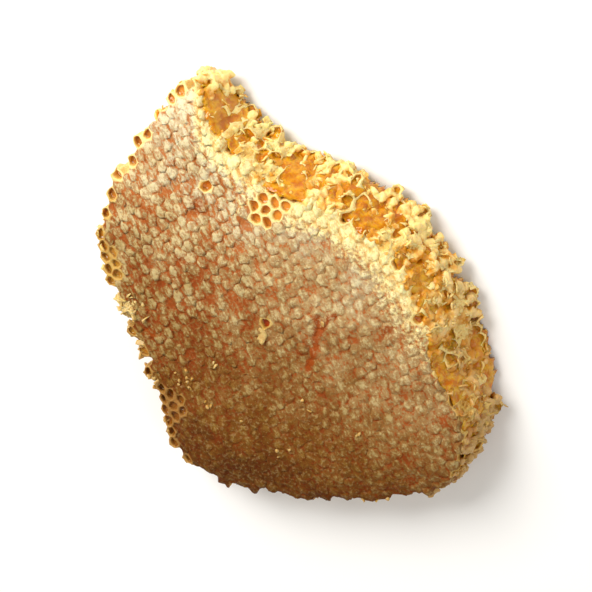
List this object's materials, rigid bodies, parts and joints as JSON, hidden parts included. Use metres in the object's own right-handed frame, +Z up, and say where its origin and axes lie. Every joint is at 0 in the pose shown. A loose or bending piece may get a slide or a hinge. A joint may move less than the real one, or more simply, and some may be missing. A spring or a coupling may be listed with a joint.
{
  "type": "honeycomb piece",
  "caption": "Slab of natural comb, mostly capped, with cells opened along a steep torn edge and honey showing in them.",
  "frame": {"origin": "middle of the footprint's bounding box, at the height of the surface that the slab lies on", "axes": "+Z up, out of the capped front face; +Y towards the slab's tip, along its longest extent; +X towards the torn side"},
  "size_m": [0.1786, 0.1905, 0.0351],
  "materials": {
    "wax": "beeswax caps and cell walls, satin, slightly translucent",
    "honey": "wet amber honey, clear gloss"
  },
  "bodies": {
    "root": {"honeycomb": "wax"}
  },
  "joints": []
}
